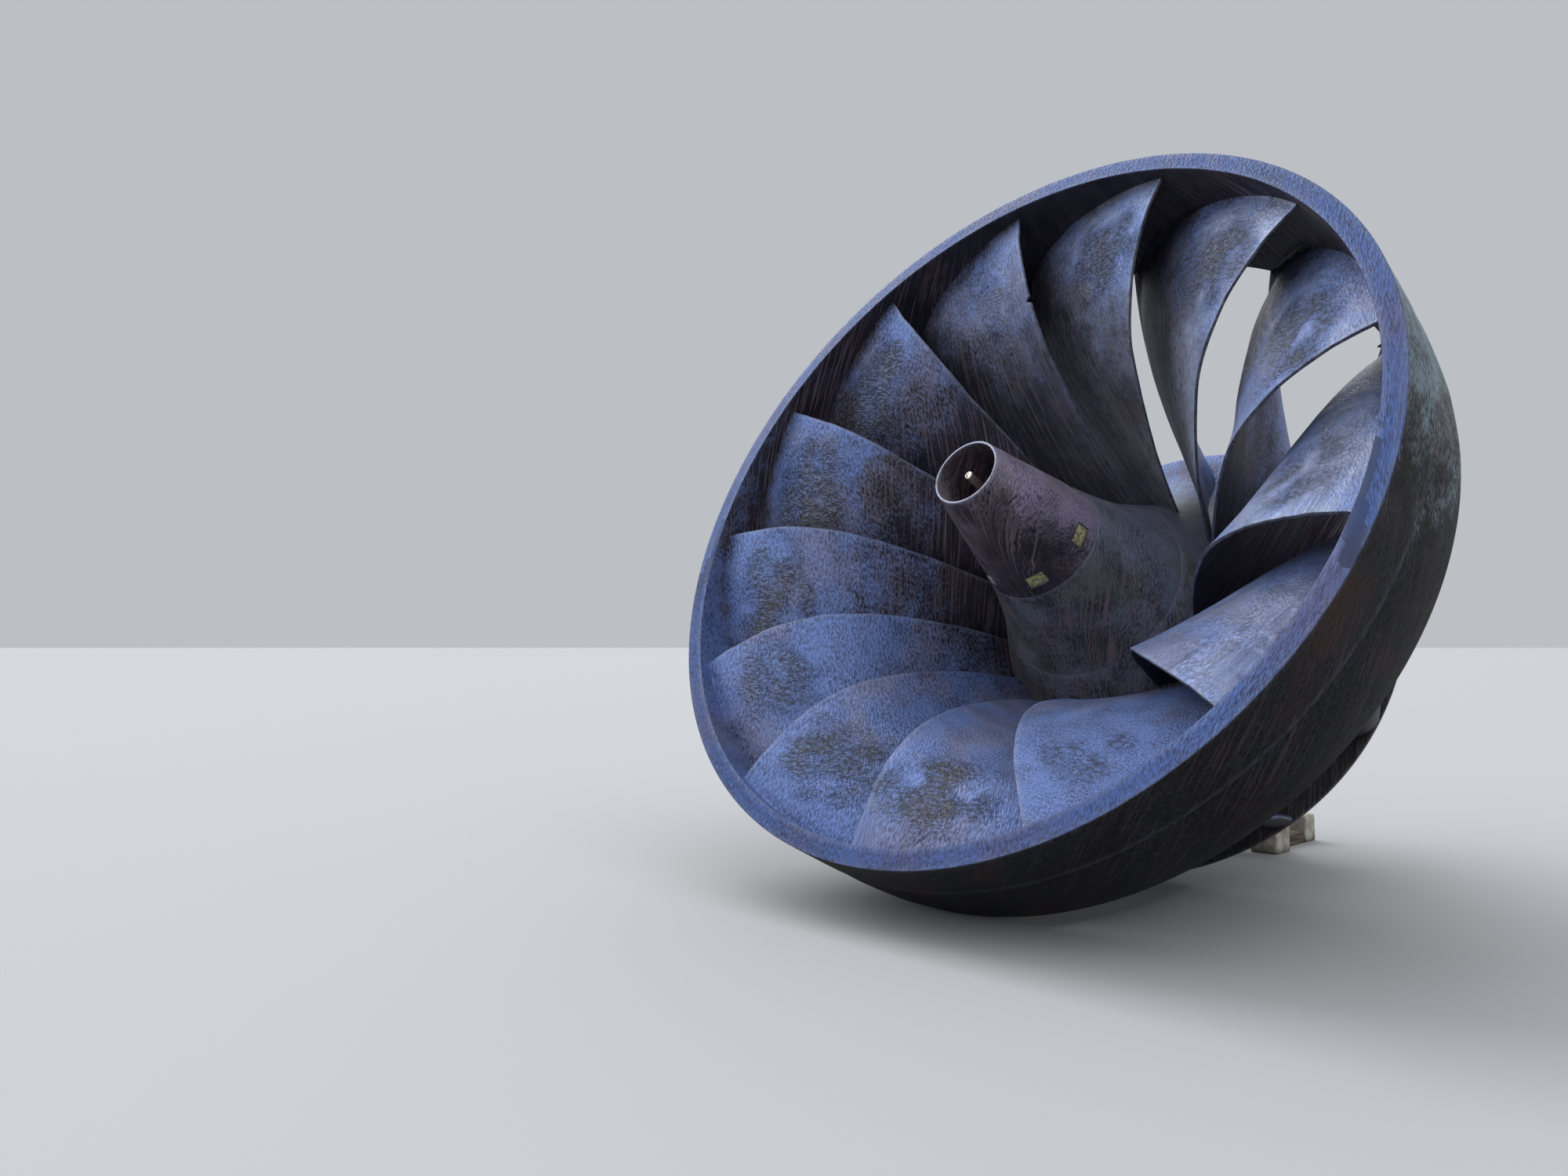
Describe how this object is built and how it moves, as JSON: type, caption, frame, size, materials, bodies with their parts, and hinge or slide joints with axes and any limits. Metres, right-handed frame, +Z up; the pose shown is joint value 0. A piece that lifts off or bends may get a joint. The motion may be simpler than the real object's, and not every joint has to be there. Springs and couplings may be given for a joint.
{
  "type": "francis turbine runner",
  "caption": "Cast Francis turbine runner laid down on show, its bladed outlet facing forward and up, leaning back on its band, crown rim and low blocks under its shaft coupling.",
  "frame": {"origin": "centre of the part's bounding box, at floor level", "axes": "+Z up; the outlet of the runner faces -Y and up, so the shaft coupling is towards +Y; +X is to the right seen from the outlet side"},
  "size_m": [3.399, 3.3878, 3.295],
  "materials": {
    "runner_steel": "dark weathered cast steel with a blue-grey sheen, brown and pale run-off streaks, pitted patches on the blades",
    "cone_steel": "dark weathered steel with fine fanned run-off streaks",
    "bare_steel": "worn bright end, rusted shank",
    "pocket_filling": "mortar filling overgrown with yellow-green lichen",
    "pale_stone": "rough pale stone, soiled at the foot",
    "timber": "grey-brown weathered sawn timber"
  },
  "bodies": {
    "root": {"outer_band": "runner_steel", "crown": "runner_steel", "hub": "runner_steel", "shaft_coupling": "runner_steel", "blade_01": "runner_steel", "blade_02": "runner_steel", "blade_03": "runner_steel", "blade_04": "runner_steel", "blade_05": "runner_steel", "blade_06": "runner_steel", "blade_07": "runner_steel", "blade_08": "runner_steel", "blade_09": "runner_steel", "blade_10": "runner_steel", "blade_11": "runner_steel", "blade_12": "runner_steel", "blade_13": "runner_steel", "runner_cone": "cone_steel", "tie_rod": "bare_steel", "bolt_pocket_cover_1": "pocket_filling", "bolt_pocket_cover_2": "pocket_filling", "bolt_pocket_cover_3": "pocket_filling", "bolt_pocket_cover_4": "pocket_filling", "bolt_pocket_cover_5": "pocket_filling", "bolt_pocket_cover_6": "pocket_filling", "coupling_block_right": "pale_stone", "coupling_block_left": "pale_stone", "rear_block": "pale_stone", "packing_timber": "timber"}
  },
  "joints": []
}
